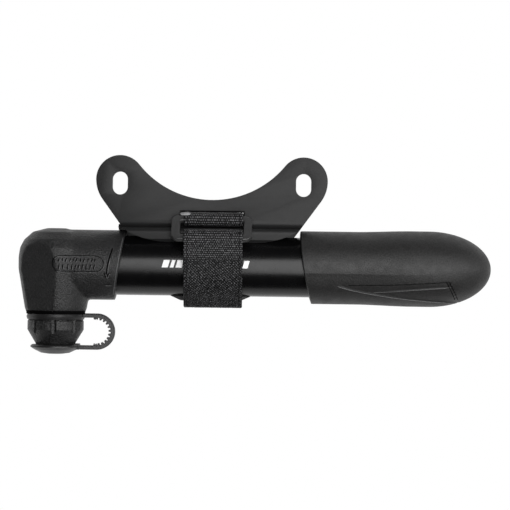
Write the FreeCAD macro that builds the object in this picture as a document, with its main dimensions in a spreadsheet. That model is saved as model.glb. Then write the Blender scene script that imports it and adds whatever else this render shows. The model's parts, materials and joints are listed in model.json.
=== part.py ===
"""Mini bicycle pump with its frame bracket and strap, as a parametric FreeCAD document.

The row frame has its origin midway between the bracket's two bolt slots, on the seat face that meets
the frame bosses. +X runs along the barrel to the handle, +Y points away from the barrel and +Z away from
the bike.
Every piece is drawn in the barrel frame (X along the barrel's axis, Y and Z across it) and its Placement
moves it to the row frame.
"""
import FreeCAD, Part
import math
import os
import re
import Sketcher
from FreeCAD import Placement, Rotation, Vector

doc = FreeCAD.newDocument("mini_pump")

# ---------------------------------------------------------------- driving dimensions, mm and degrees
SIZES = {
    # where the barrel's axis lies, seen from the seat face
    "axis_drop": 28.65, "axis_rise": 0.5,
    # bracket
    "boss_spacing": 64, "slot_width": 5.3, "slot_length": 8, "plate_thick": 2.5,
    "ear_radius": 8.4, "ear_lift": 1.35, "shoulder_radius": 12, "notch_depth": 5.5,
    "tip_half": 13.85, "tip_low": 10.45, "cradle_wall": 1.5, "cradle_gap": 0.15,
    "lip_front": 7.3, "lip_top": 13.4, "lip_low": 8.3, "lip_edge": 9.35, "lip_flat": 15, "lip_corner": 30,
    "lip_round": 2, "head_room": 29.38, "head_gap": 0.12, "slant_back": 1.2, "tab_reach": 32.3, "tab_top": 14.3,
    "web_fillet": 2.3, "strap_slot_side": 0.15, "strap_slot_low": 16.25, "strap_slot_high": 18.85,
    "slot_flare_left": 1.8, "slot_flare_right": 0.5, "slot_flare_high": 0.5, "slot_flare_back": 0.4,
    "cradle_stop": 10, "channel_low": 13.6, "channel_depth": 0.3, "channel_side": 1.2, "floor_inset": 4.8,
    # barrel
    "barrel_radius": 10.4, "bore_radius": 9, "barrel_left": -43.5, "barrel_right": 79.5,
    "groove_middle": -38.4, "groove_depth": 0.45, "groove_width": 1.4,
    # spindle and check valve, measured from the barrel's left end where they lie along it
    "disc_length": 5, "spindle_radius": 4, "shaft_length": 3.3, "spindle_ring_x": 2, "crank_past": 4.5,
    "valve_seat": 3.6, "valve_seat_radius": 3.3, "throat_radius": 2.3, "duct_radius": 0.6,
    # rod, piston and guide
    "rod_radius": 4, "rod_bore": 2.4, "rod_left": -32, "rod_right": 92,
    "piston_left": -37.4, "piston_right": -30.6, "piston_clear": 0.15, "guide_length": 8,
    "guide_flange": 1.2, "wiper_depth": 2.2, "running_fit": 0.08, "screw_radius": 2, "screw_head": 3.6,
    "anchor_head": 3.8, "anchor_thick": 1.6, "anchor_length": 9,
    # handle
    "grip_radius": 12.7, "grip_swell": 13.2, "grip_left": 31, "grip_neck": 50, "grip_belly": 70,
    "nose_middle": 76, "nose_length": 21.8, "grip_slant": 81, "core_inner": 10.7, "core_outer": 11.5,
    "cavity_right": 82.2,
    # pump head
    "nozzle_x": -54, "socket_radius": 12.2, "socket_top_x": -29.5, "socket_bottom_x": -33.4,
    "column_radius": 13.2, "column_top": 12.6, "column_flat": 3.3, "column_round": 2.7,
    "column_waist_y": -15.4, "column_waist": 10.8, "column_foot_y": -17, "column_foot": 10.1,
    "facet_tilt": 30, "facet_lean": 6.5, "facet_reach": 11.05, "plunger_bore": 6.9, "spigot_bore": 8,
    "plunger_top": 7, "plunger_low": -9.5, "plunger_ring_y": -5.5, "plunger_duct": 1.2,
    "cam_offset": 1.5, "cam_pin": 1.6, "cam_clear": 0.12,
    # nozzle nut, gland, cap ring, tether and dust cap
    "ring_high": -17.3, "ring_low": -19.3, "ring_radius": 9.9, "nut_radius": 9.8, "nut_shoulder": -22.8,
    "notch_radius": 1.1,
    "nut_low": -27.9, "nut_tip": 6.75, "gland_low": -25.9, "gland_radius": 6.2, "valve_hole": 4,
    "valve_depth": 8.4, "cap_high": -28, "cap_low": -31.25, "cap_radius": 8.7,
    "tether_x": -39.5, "tether_y": -23.35, "tether_radius": 5.2, "tether_thick": 2.2, "tether_width": 4.5,
    # strap and buckle
    "strap_left": -9.2, "strap_right": 10.9, "web_thick": 1.1, "web_gap": 0.1,
    "buckle_left": -13.8, "buckle_right": 14.2, "bar_radius": 1.2, "buckle_corner": 2, "upper_bar_y": 16.3,
    "upper_bar_z": 5.6, "lower_bar_y": 9.7, "lower_bar_z": 11.5, "fold_inner": 2.1, "tail_end": 100,
}
size = doc.addObject("Spreadsheet::Sheet", "size")
for row, (alias, value) in enumerate(SIZES.items(), 1):
    size.set("A%d" % row, alias.replace("_", " "))
    size.set("B%d" % row, str(value))
    size.setAlias("B%d" % row, alias)
doc.recompute()

ALIAS = re.compile(r"(?<![\w.])(" + "|".join(sorted(SIZES, key=len, reverse=True)) + r")(?!\w)")
SUBPARTS = []


def bound(formula):
    """A formula in the sheet's aliases, as the expression engine wants it."""
    return ALIAS.sub(r"size.\1", str(formula))


def value(formula):
    """The number that a formula in the sheet's aliases gives."""
    return float(size.evalExpression(bound(formula)))


def bind(thing, **formulas):
    """Sets properties of an object and keeps them bound to the sheet."""
    for name, formula in formulas.items():
        setattr(thing, name, value(formula))
        thing.setExpression(name, bound(formula))
    return thing


def subpart(thing, label, y="0"):
    """Names a finished piece and moves it from the barrel frame to the row frame."""
    thing.Label = label
    thing.Placement.Base = Vector(0, value(y + " - axis_drop"), value("axis_rise"))
    if thing.TypeId != "Part::Feature":
        thing.setExpression("Placement.Base.y", bound(y + " - axis_drop"))
        thing.setExpression("Placement.Base.z", bound("axis_rise"))
    SUBPARTS.append(thing)
    return thing


# ---------------------------------------------------------------- sketch and solid helpers
def outline(sketch, points):
    """Draws a closed polygon whose corners are pairs of formulas, each bound to the sheet."""
    spots = [Vector(value(x), value(y), 0) for x, y in points]
    for i, spot in enumerate(spots):
        sketch.addGeometry(Part.LineSegment(spot, spots[(i + 1) % len(spots)]), False)
    for i in range(len(spots)):
        sketch.addConstraint(Sketcher.Constraint("Coincident", i, 2, (i + 1) % len(spots), 1))
    for i, (x, y) in enumerate(points):
        for kind, formula, axis in (("DistanceX", x, -2), ("DistanceY", y, -1)):
            if abs(value(formula)) < 1e-9:
                sketch.addConstraint(Sketcher.Constraint("PointOnObject", i, 1, axis))
            else:
                spot = sketch.addConstraint(Sketcher.Constraint(kind, -1, 1, i, 1, value(formula)))
                sketch.setExpression("Constraints[%d]" % spot, bound(formula))
    return sketch


def plane_sketch(body, name, role="XY_Plane"):
    """A sketch on one of the body's own origin planes."""
    sketch = body.newObject("Sketcher::SketchObject", name)
    plane = [item for item in body.Origin.OriginFeatures if item.Role == role][0]
    sketch.AttachmentSupport = [(plane, "")]
    sketch.MapMode = "FlatFace"
    return sketch


def turned(label, points, axis="H_Axis"):
    """A piece turned on the lathe: a body that revolves one half section about a sketch axis."""
    body = doc.addObject("PartDesign::Body", label)
    sketch = outline(plane_sketch(body, label + "_section"), points)
    turn = body.newObject("PartDesign::Revolution", label + "_turn")
    turn.Profile = sketch
    turn.ReferenceAxis = (sketch, [axis])
    turn.Angle = 360
    doc.recompute()
    return body


def turned_at_nozzle(label, points):
    """A piece turned about the nozzle's axis, which crosses the barrel's at nozzle_x and runs along Y.
    Each point is a radius and a height."""
    body = doc.addObject("PartDesign::Body", label)
    sketch = plane_sketch(body, label + "_section")
    outline(sketch, [("nozzle_x + " + r, y) for r, y in points])
    pole = Part.LineSegment(Vector(value("nozzle_x"), -5, 0), Vector(value("nozzle_x"), 5, 0))
    sketch.addGeometry(pole, True)
    last = len(points)
    sketch.addConstraint(Sketcher.Constraint("Vertical", last))
    spot = sketch.addConstraint(Sketcher.Constraint("DistanceX", -1, 1, last, 1, value("nozzle_x")))
    sketch.setExpression("Constraints[%d]" % spot, bound("nozzle_x"))
    turn = body.newObject("PartDesign::Revolution", label + "_turn")
    turn.Profile = sketch
    turn.ReferenceAxis = (sketch, ["Axis0"])
    turn.Angle = 360
    doc.recompute()
    return body


def rod(label, radius, start, end, x=None, y=0, z=0, along="X"):
    """A cylinder along X, Y or Z between two formulas, through the point given by the other two."""
    piece = bind(doc.addObject("Part::Cylinder", label), Radius=radius, Height="(%s) - (%s)" % (end, start))
    turns = {"X": Rotation(Vector(0, 1, 0), 90), "Y": Rotation(Vector(1, 0, 0), -90), "Z": Rotation()}
    base = {"x": 0 if x is None else x, "y": y, "z": z}
    base[along.lower()] = start
    piece.Placement.Rotation = turns[along]
    for letter, formula in base.items():
        setattr(piece.Placement.Base, letter, value(formula))
        piece.setExpression("Placement.Base." + letter, bound(formula))
    return piece


def block(label, low, high):
    """A box between two corners given as formulas."""
    length, width, height = ("(%s) - (%s)" % (b, a) for a, b in zip(low, high))
    piece = bind(doc.addObject("Part::Box", label), Length=length, Width=width, Height=height)
    for letter, formula in zip("xyz", low):
        piece.setExpression("Placement.Base." + letter, bound(formula))
    return piece


def hoop(label, ring, section, x, along="X"):
    """A torus about the barrel's axis (along X) or about the nozzle's (along Y)."""
    piece = bind(doc.addObject("Part::Torus", label), Radius1=ring, Radius2=section)
    piece.Placement.Rotation = Rotation(Vector(0, 1, 0), 90) if along == "X" else Rotation(Vector(1, 0, 0), 90)
    piece.setExpression("Placement.Base.x", bound(x))
    return piece


def cut(label, base, *tools):
    """Takes tools away from a base."""
    tool = tools[0]
    if len(tools) > 1:
        tool = doc.addObject("Part::MultiFuse", label + "_tools")
        tool.Shapes = list(tools)
    piece = doc.addObject("Part::Cut", label)
    piece.Base = base
    piece.Tool = tool
    doc.recompute()
    return piece


def join(label, *pieces):
    """Makes one solid of several."""
    piece = doc.addObject("Part::MultiFuse", label)
    piece.Shapes = list(pieces)
    piece.Refine = True
    doc.recompute()
    return piece


def common(label, *pieces):
    """Keeps what all the pieces share."""
    piece = doc.addObject("Part::MultiCommon", label)
    piece.Shapes = list(pieces)
    doc.recompute()
    return piece


def prism(label, sketch, start, end, along):
    """A closed sketch extruded along an axis from one formula to another."""
    sketch.Placement.Base = along * value(start)
    letter = "xyz"[[abs(part) > 0.5 for part in along].index(True)]
    sketch.setExpression("Placement.Base." + letter, bound(start))
    piece = doc.addObject("Part::Extrusion", label)
    piece.Base = sketch
    piece.Dir = along
    piece.Solid = True
    bind(piece, LengthFwd="(%s) - (%s)" % (end, start))
    doc.recompute()
    return piece


# ---------------------------------------------------------------- barrel, spindle and guide
def make_barrel():
    low, high = "groove_middle - groove_width / 2", "groove_middle + groove_width / 2"
    floor = "barrel_radius - groove_depth"
    subpart(turned("barrel_tube", [
        ("barrel_left", "bore_radius"), ("barrel_left", "barrel_radius"), (low, "barrel_radius"), (low, floor),
        (high, floor), (high, "barrel_radius"), ("barrel_right", "barrel_radius"),
        ("barrel_right", "bore_radius")]), "barrel_tube")


def make_spindle():
    """Fixed in the barrel's end: its shaft seals the turning head and its crank pin works the plunger."""
    disc = rod("spindle_disc", "bore_radius", "barrel_left", "barrel_left + disc_length")
    shaft = rod("spindle_shaft", "spindle_radius", "barrel_left - shaft_length", "barrel_left + 1")
    crank_end = "nozzle_x - crank_past"
    side = "cam_offset * cos(45)"
    pin = rod("spindle_pin", "cam_pin", crank_end, "barrel_left - 2", y=side, z=side)
    lip = "barrel_left + valve_seat"
    seat = rod("spindle_seat", "valve_seat_radius", lip, "barrel_left + disc_length + 1")
    throat = rod("spindle_throat", "throat_radius", "barrel_left - 1.1", lip + " + 0.4")
    duct = rod("spindle_duct", "duct_radius", crank_end + " - 1", "barrel_left", y=side, z=side)
    ring = "barrel_left - spindle_ring_x"
    groove = cut("spindle_groove", rod("groove_outer", "spindle_radius + 1", ring + " - 0.7", ring + " + 0.7"),
                 rod("groove_inner", "spindle_radius - 1", ring + " - 2", ring + " + 1"))
    solid = join("spindle_solid", disc, shaft, pin)
    subpart(cut("cam_spindle", solid, seat, throat, duct, groove), "cam_spindle")
    subpart(hoop("spindle_o_ring", "spindle_radius - 0.45", "0.46", ring), "spindle_o_ring")
    # a duckbill: a flange on the seat, and a mouth that narrows towards the head
    flange, stem, tip = "valve_seat_radius - 0.05", "throat_radius - 0.05", "barrel_left + 0.6"
    subpart(turned("check_valve", [
        (lip, 0), (lip, stem + " - 0.25"), (tip, "duct_radius + 0.1"), (tip, "duct_radius * 2"),
        (lip + " - 0.6", stem), (lip, stem), (lip, flange), (lip + " + 1", flange), (lip + " + 1", 0)]),
        "check_valve")


def make_guide():
    """The bush in the barrel's open end, with a felt wiper round the rod."""
    inner, outer = "barrel_right - guide_length", "barrel_right + guide_flange"
    pocket, cover = "barrel_right - wiper_depth", "barrel_right + 0.2"
    hole = "rod_radius + running_fit"
    subpart(turned("rod_guide", [
        (inner, hole), (inner, "bore_radius"), ("barrel_right", "bore_radius"),
        ("barrel_right", "barrel_radius"), (outer, "barrel_radius"), (outer, "rod_radius + 1"),
        (cover, "rod_radius + 1"), (cover, "rod_radius + 2"), (pocket, "rod_radius + 2"), (pocket, hole)]),
        "rod_guide")
    subpart(turned("rod_wiper", [
        (pocket, "rod_radius + 0.05"), (pocket, "rod_radius + 2"), (cover, "rod_radius + 2"),
        (cover, "rod_radius + 0.05")]), "rod_wiper")


# ---------------------------------------------------------------- piston and handle
def make_piston():
    wall, floor = "bore_radius - piston_clear", "bore_radius - 1.7"
    left, right, step = "piston_left", "piston_right", "rod_left - 0.1"
    socket, hole = "rod_radius + running_fit", "screw_radius + 0.1"
    subpart(turned("piston_head", [
        (left, hole), (left, wall), (left + " + 1.6", wall), (left + " + 1.6", floor), (left + " + 4.4", floor),
        (left + " + 4.4", wall), (right, wall), (right, socket), (step, socket), (step, hole)]), "piston_head")
    subpart(turned("piston_seal", [
        (left + " + 1.7", "bore_radius - 1.65"), (left + " + 1.7", "bore_radius - 0.05"),
        (left + " + 2.6", "bore_radius - 0.35"), (left + " + 4.3", "bore_radius - 0.35"),
        (left + " + 4.3", "bore_radius - 1.65")]), "piston_seal")


def make_rod():
    subpart(turned("piston_rod", [
        ("rod_left", "rod_bore"), ("rod_left", "rod_radius"), ("rod_right", "rod_radius"),
        ("rod_right", "rod_bore")]), "piston_rod")
    head = "piston_left - 0.1"
    subpart(turned("piston_screw", [
        (head + " - 0.9", 0), (head + " - 0.9", "screw_head"), (head, "screw_head"), (head, "screw_radius"),
        ("rod_left", "screw_radius"), ("rod_left", "rod_bore"), ("rod_left + 8", "rod_bore"),
        ("rod_left + 8", 0)]), "piston_screw")
    inner, outer = "rod_right - anchor_length", "rod_right + anchor_thick"
    subpart(turned("anchor_screw", [
        (inner, 0), (inner, "rod_bore"), ("rod_right", "rod_bore"), ("rod_right", "anchor_head"),
        (outer, "anchor_head"), (outer, 0)]), "anchor_screw")


def domed(label, left, neck, neck_radius, shrink):
    """A revolved solid whose right end is the handle's half-elliptical nose, less a margin all over."""
    middle, length = value("nose_middle"), value("nose_length") - shrink
    radius = value("grip_swell") - shrink
    start = Vector(value(left), 0, 0)
    shoulder = Vector(value(left), value(neck_radius) - shrink, 0)
    knee = Vector(value(neck), value(neck_radius) - shrink, 0)
    belly, rim = Vector(value("grip_belly"), radius, 0), Vector(middle, radius, 0)
    tip = Vector(middle + length, 0, 0)
    curve = Part.Ellipse(Vector(middle, 0, 0), length, radius)
    sketch = doc.addObject("Sketcher::SketchObject", label + "_section")
    for edge in (Part.LineSegment(start, shoulder), Part.LineSegment(shoulder, knee),
                 Part.LineSegment(knee, belly), Part.LineSegment(belly, rim),
                 Part.ArcOfEllipse(curve, 0, math.pi / 2), Part.LineSegment(tip, start)):
        sketch.addConstraint(Sketcher.Constraint("Block", sketch.addGeometry(edge, False)))
    piece = doc.addObject("Part::Revolution", label)
    piece.Source = sketch
    piece.Axis = Vector(1, 0, 0)
    piece.Angle = 360
    piece.Solid = True
    doc.recompute()
    return piece


def make_handle():
    """A hard core round the barrel under a soft grip, closed by the nose where the rod is anchored."""
    skin = value("grip_radius") - value("core_outer")
    core_cuts = (rod("core_mouth", "grip_swell", "grip_left", "grip_left + 5"),
                 rod("core_cavity", "core_inner", "grip_left + 4", "cavity_right"),
                 rod("core_rod_hole", "rod_radius", "cavity_right - 1", "rod_right"),
                 rod("core_screw_hole", "anchor_head", "rod_right - 1", "rod_right + anchor_thick"),
                 rod("core_end", "grip_swell", "rod_right + anchor_thick", "rod_right + 9"))
    core = domed("core_solid", "grip_left + 1", "grip_neck", "grip_radius", skin)
    subpart(cut("handle_core", core, *core_cuts), "handle_core")

    solid = domed("grip_solid", "grip_left", "grip_neck", "grip_radius", 0)
    swept = block("grip_mouth_block", ("grip_left - 20", "-20", "-20"), ("grip_left + 9", 20, 20))
    mouth = cut("grip_mouth", swept, rod("grip_mouth_curve", "grip_slant", "-20", "20",
                                         x="grip_left + grip_slant", y="grip_radius", along="Z"))
    lining = cut("grip_lining", domed("grip_inside", "grip_left + 1", "grip_neck", "grip_radius", skin),
                 rod("lining_mouth", "grip_swell", "grip_left", "grip_left + 5"),
                 rod("lining_end", "grip_swell", "rod_right + anchor_thick", "rod_right + 9"))
    throat = rod("grip_throat", "core_inner + 0.05", "grip_left - 1", "grip_left + 5.5")
    subpart(cut("handle_grip", solid, mouth, lining, throat), "handle_grip")
    subpart(hoop("bumper_ring", "8", "0.6", "cavity_right - 0.6"), "bumper_ring")


# ---------------------------------------------------------------- pump head
def make_head():
    # the shoulder's quarter round is drawn as a polygon
    reach = "(column_radius - column_flat)"
    shoulder = [("column_flat + %s * cos(%d)" % (reach, turn), "column_round + %s * sin(%d)" % (reach, turn))
                for turn in (60, 36, 18)]
    column = turned_at_nozzle("head_column", [("0", "column_top"), ("column_flat", "column_top")] + shoulder + [
        ("column_radius", "column_round"), ("column_radius", "-1.5"),
        ("column_waist", "column_waist_y"), ("column_foot", "column_foot_y"), ("0", "column_foot_y")])
    facets = []
    for name, side in (("front", 1), ("back", -1)):
        # the facet's plane stands facet_reach from the column's axis, turned to the left of front or back
        # and leaning in towards the nozzle
        tilt = side * value("facet_tilt")
        facet = bind(doc.addObject("Part::Box", "facet_" + name), Length="60", Width="60", Height="20")
        turn = Rotation(Vector(0, 1, 0), -tilt if side > 0 else 180 - tilt)
        turn = turn.multiply(Rotation(Vector(1, 0, 0), value("facet_lean")))
        reach = turn.multVec(Vector(0, 0, value("facet_reach")))
        corner = turn.multVec(Vector(-30, -30, 0))
        facet.Placement = Placement(reach + corner + Vector(value("nozzle_x"), 0, 0), turn)
        facets.append(facet)
    faceted = cut("faceted_column", column, *facets)
    socket = rod("head_socket", "socket_radius", "nozzle_x + 1", "socket_top_x + 2")
    slant = block("head_slant", ("socket_top_x", "-26", "-20"), ("socket_top_x + 20", 14, 20))
    lean = "atan((socket_top_x - socket_bottom_x) / (2 * socket_radius))"
    slant.Placement.Rotation = Rotation(Vector(0, 0, 1), -value(lean))
    middle = "(socket_top_x + socket_bottom_x) / 2"
    slant.setExpression("Placement.Base.x", bound(middle + " - 26 * sin(%s)" % lean))
    slant.setExpression("Placement.Base.y", bound("-26 * cos(%s)" % lean))
    shell = cut("head_outside", join("head_union", faceted, socket), slant)
    bores = (rod("head_barrel_bore", "barrel_radius + 0.06", "barrel_left - 0.1", "socket_top_x + 5"),
             rod("head_spindle_bore", "spindle_radius + 0.06", "nozzle_x", "barrel_left + 1"),
             rod("head_crank_room", "cam_offset + cam_pin + 0.35", "nozzle_x - 5.2", "nozzle_x + 8"),
             rod("head_plunger_bore", "plunger_bore", "column_foot_y - 1", "plunger_top + 0.6",
                 x="nozzle_x", along="Y"),
             rod("head_spigot_bore", "spigot_bore", "column_foot_y - 1", "column_foot_y + 5",
                 x="nozzle_x", along="Y"),
             rod("head_ring_groove", "barrel_radius + 0.9", "groove_middle - 0.5", "groove_middle + 0.5"))
    subpart(cut("head_shell", shell, *bores), "head_shell")
    low, high = "barrel_radius - groove_depth + 0.07", "barrel_radius + 0.9"
    subpart(turned("head_retaining_ring", [
        ("groove_middle - 0.5", low), ("groove_middle - 0.5", high), ("groove_middle + 0.5", high),
        ("groove_middle + 0.5", low)]), "head_retaining_ring")


def make_plunger():
    """Slides in the column, where the crank pin in its cross slot pushes it down on the gland."""
    solid = rod("plunger_solid", "plunger_bore - running_fit", "plunger_low", "plunger_top", x="nozzle_x",
                along="Y")
    height = "cam_offset * cos(45)"
    half = "(cam_pin + cam_clear)"
    slot = block("plunger_slot", ("nozzle_x - 5", height + " - " + half, "-8"),
                 ("nozzle_x + 8", height + " + " + half, "8"))
    duct = rod("plunger_channel", "plunger_duct", "plunger_low - 1", "0", x="nozzle_x", along="Y")
    groove = cut("plunger_groove",
                 rod("plunger_groove_outer", "plunger_bore + 1", "plunger_ring_y - 0.8", "plunger_ring_y + 0.8",
                     x="nozzle_x", along="Y"),
                 rod("plunger_groove_inner", "plunger_bore - 1.1", "plunger_ring_y - 2", "plunger_ring_y + 2",
                     x="nozzle_x", along="Y"))
    subpart(cut("valve_plunger", solid, slot, duct, groove), "valve_plunger")
    seal = hoop("plunger_o_ring", "plunger_bore - 0.53", "0.5", "nozzle_x", along="Y")
    subpart(seal, "plunger_o_ring", y="plunger_ring_y")
    subpart(turned_at_nozzle("gland_washer", [
        ("plunger_duct", "plunger_low"), ("gland_radius", "plunger_low"),
        ("gland_radius", "plunger_low - 1"), ("plunger_duct", "plunger_low - 1")]), "gland_washer")


def make_nozzle():
    """The nut that closes the column, with the rubber gland that grips the tyre valve inside it."""
    cavity = "gland_radius + 0.1"
    nut = turned_at_nozzle("nut_turned", [
        (cavity, "column_foot_y + 4.8"), ("spigot_bore", "column_foot_y + 4.8"), ("spigot_bore", "ring_low"),
        ("nut_radius - 0.3", "ring_low"), ("nut_radius", "ring_low - 0.6"), ("nut_radius", "nut_shoulder"),
        ("nut_tip", "nut_low"), ("valve_hole + 0.5", "nut_low"), ("valve_hole + 0.5", "gland_low"),
        (cavity, "gland_low")])
    reach = value("nut_radius") + 0.3
    notches = []
    for turn in range(8):
        copy = bind(doc.addObject("Part::Cylinder", "nut_notch_%d" % turn), Radius="notch_radius",
                    Height="ring_low - nut_low + 1.01")
        angle = math.radians(45 * turn)
        spot = Vector(value("nozzle_x") + reach * math.sin(angle), value("nut_low") - 1, reach * math.cos(angle))
        copy.Placement = Placement(spot, Rotation(Vector(1, 0, 0), -90))
        notches.append(copy)
    subpart(cut("nozzle_nut", nut, *notches), "nozzle_nut")
    top, throat = "plunger_low - 1", "valve_hole * 0.65"
    subpart(turned_at_nozzle("valve_gland", [
        ("plunger_duct", top), ("gland_radius", top), ("gland_radius", "gland_low"), ("valve_hole", "gland_low"),
        ("valve_hole", "gland_low + valve_depth"), (throat, "gland_low + valve_depth"), (throat, top + " - 2"),
        ("plunger_duct", top + " - 2")]), "valve_gland")


def make_cap():
    """The ring round the nut's neck, the tether and the dust cap."""
    inner, mid = "spigot_bore + 0.05", "(ring_high + ring_low) / 2"
    subpart(turned_at_nozzle("cap_ring", [
        (inner, "ring_high"), ("ring_radius", "ring_high"), ("ring_radius + 0.3", mid),
        ("ring_radius", "ring_low + 0.1"), (inner, "ring_low + 0.1")]), "cap_ring")

    # the tether: a leg from the ring, a half turn and a leg back to the cap
    turn_x, turn_y, radius = value("tether_x"), value("tether_y"), value("tether_radius")
    top, bottom = turn_y + radius, turn_y - radius
    half, side = value("tether_thick") / 2, -value("tether_width") / 2
    ring_end = Vector(value("nozzle_x") + value("ring_radius") + 0.4 + half, top, side)
    cap_end = Vector(value("nozzle_x") + value("cap_radius") + 0.1 + half, bottom, side)
    path = Part.Wire([straight(ring_end, Vector(turn_x, top, side)),
                      Part.Arc(Vector(turn_x, top, side), Vector(turn_x + radius, turn_y, side),
                               Vector(turn_x, bottom, side)).toShape(),
                      straight(Vector(turn_x, bottom, side), cap_end)])
    tether = doc.addObject("Part::Feature", "cap_tether")
    tether.Shape = path.makeOffset2D(half, 0, True, False).extrude(Vector(0, 0, value("tether_width")))
    subpart(tether, "cap_tether")

    subpart(turned_at_nozzle("dust_cap", [
        ("0", "cap_high"), ("cap_radius - 0.5", "cap_high"), ("cap_radius", "cap_high - 0.5"),
        ("cap_radius", "cap_high - 0.9"), ("cap_radius - 1.4", "cap_high - 1.8"),
        ("cap_radius - 3.7", "cap_low + 0.35"), ("cap_radius - 6", "cap_low"), ("0", "cap_low")]), "dust_cap")


# ---------------------------------------------------------------- bracket
def bracket_outline():
    """The front view of the bracket: two ears, the notch between them and sides that run in to the tips."""
    drop = value("axis_drop")
    ear_x, ear_y, ear_r = value("boss_spacing / 2"), drop + value("ear_lift"), value("ear_radius")
    low = drop - value("notch_depth")
    # the notch is the circle through (0, low) that touches both ears from outside
    rise = ear_y - low
    notch_r = (ear_x ** 2 + rise ** 2 - ear_r ** 2) / (2 * (ear_r + rise))
    notch_y = low + notch_r
    toward = Vector(ear_x, ear_y - notch_y, 0).normalize()
    touch = Vector(0, notch_y, 0) + toward * notch_r
    # the shoulder is a larger arc inside the ear, and the side is its tangent from the tip
    shoulder_r = value("shoulder_radius")
    hub = Vector(ear_x + ear_r - shoulder_r, ear_y, 0)
    tip = Vector(value("tip_half"), -value("tip_low"), 0)
    gap = hub - tip
    heading = math.atan2(gap.y, gap.x) - math.asin(shoulder_r / gap.Length)
    reach = math.sqrt(gap.Length ** 2 - shoulder_r ** 2)
    foot = tip + Vector(math.cos(heading), math.sin(heading), 0) * reach
    outer = Vector(ear_x + ear_r, ear_y, 0)
    half = math.atan2(foot.y - hub.y, foot.x - hub.x) / 2
    shoulder_mid = hub + Vector(math.cos(half), math.sin(half), 0) * shoulder_r
    ear_top = Vector(ear_x, ear_y + ear_r, 0)
    below = -value("barrel_radius + cradle_gap + cradle_wall") - 0.5
    floor = Vector(value("tip_half - floor_inset"), below, 0)

    def mirror(point):
        return Vector(-point.x, point.y, 0)

    right = [Part.Arc(touch, ear_top, outer), Part.Arc(outer, shoulder_mid, foot),
             Part.LineSegment(foot, tip), Part.LineSegment(tip, floor)]
    left = [Part.LineSegment(mirror(floor), mirror(tip)), Part.LineSegment(mirror(tip), mirror(foot)),
            Part.Arc(mirror(foot), mirror(shoulder_mid), mirror(outer)),
            Part.Arc(mirror(outer), mirror(ear_top), mirror(touch))]
    edges = [Part.Arc(mirror(touch), Vector(0, low, 0), touch)] + right
    edges += [Part.LineSegment(floor, mirror(floor))] + left
    sketch = doc.addObject("Sketcher::SketchObject", "bracket_outline")
    for edge in edges:
        sketch.addGeometry(edge, False)
    for i in range(len(edges)):
        sketch.addConstraint(Sketcher.Constraint("Block", i))
    return sketch


def cradle_section():
    """The side view of the bracket: plate, raised lip and the wall that goes round behind the barrel."""
    inner = value("barrel_radius + cradle_gap")
    outer = inner + value("cradle_wall")
    back, front = -value("axis_rise"), value("plate_thick") - value("axis_rise")
    lip_top, lip_front, lip_low = value("lip_top"), value("lip_front"), value("lip_low")
    fillet = value("web_fillet")
    lip_inner = Vector(lip_low, math.sqrt(inner ** 2 - lip_low ** 2), 0)
    lip_edge = Vector(value("lip_edge"), lip_front, 0)
    plate_top = value("axis_drop") + 12
    stop = math.radians(value("cradle_stop"))
    end_inner = Vector(-inner * math.cos(stop), inner * math.sin(stop), 0)
    end_outer = Vector(-outer * math.cos(stop), outer * math.sin(stop), 0)
    corner = value("lip_round")
    # how far the middle of a quarter round lies from its corner, along each side
    inset = 1 - math.sqrt(0.5)
    root_mid = Vector(lip_top + fillet * inset, front + fillet * inset, 0)
    round_mid = Vector(lip_top - corner * inset, lip_front - corner * inset, 0)
    back_joint = Vector(math.sqrt(outer ** 2 - back ** 2), back, 0)
    edges = [Part.LineSegment(lip_inner, lip_edge),
             Part.LineSegment(lip_edge, Vector(lip_top - corner, lip_front, 0)),
             Part.Arc(Vector(lip_top - corner, lip_front, 0), round_mid, Vector(lip_top, lip_front - corner, 0)),
             Part.LineSegment(Vector(lip_top, lip_front - corner, 0), Vector(lip_top, front + fillet, 0)),
             Part.Arc(Vector(lip_top, front + fillet, 0), root_mid, Vector(lip_top + fillet, front, 0)),
             Part.LineSegment(Vector(lip_top + fillet, front, 0), Vector(plate_top, front, 0)),
             Part.LineSegment(Vector(plate_top, front, 0), Vector(plate_top, back, 0)),
             Part.LineSegment(Vector(plate_top, back, 0), back_joint),
             Part.Arc(back_joint, Vector(0, -outer, 0), end_outer),
             Part.LineSegment(end_outer, end_inner),
             Part.Arc(end_inner, Vector(0, -inner, 0), lip_inner)]
    sketch = doc.addObject("Sketcher::SketchObject", "cradle_section")
    for edge in edges:
        sketch.addGeometry(edge, False)
    for i in range(len(edges)):
        sketch.addConstraint(Sketcher.Constraint("Block", i))
    sketch.Placement.Rotation = Rotation(Vector(1, 1, 1), 120)
    return sketch


def slanted_block(label, bottom, top):
    """Room for the head between two heights: its right face runs along the socket's slanted end."""
    length, width, above = 16, 36, 3
    lean = math.degrees(math.atan2(value("socket_top_x - socket_bottom_x"), value("socket_radius * 2")))
    piece = block(label, ("0", "0", bottom), (str(length), str(width), top))
    for letter in "xyz":
        piece.setExpression("Placement.Base." + letter, None)
    corner = Vector(-value("head_room"), value("socket_radius"), value(bottom))
    pivot = Placement(corner, Rotation(Vector(0, 0, 1), -lean))
    piece.Placement = pivot * Placement(Vector(-length, above - width, 0), Rotation())
    return piece


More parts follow.
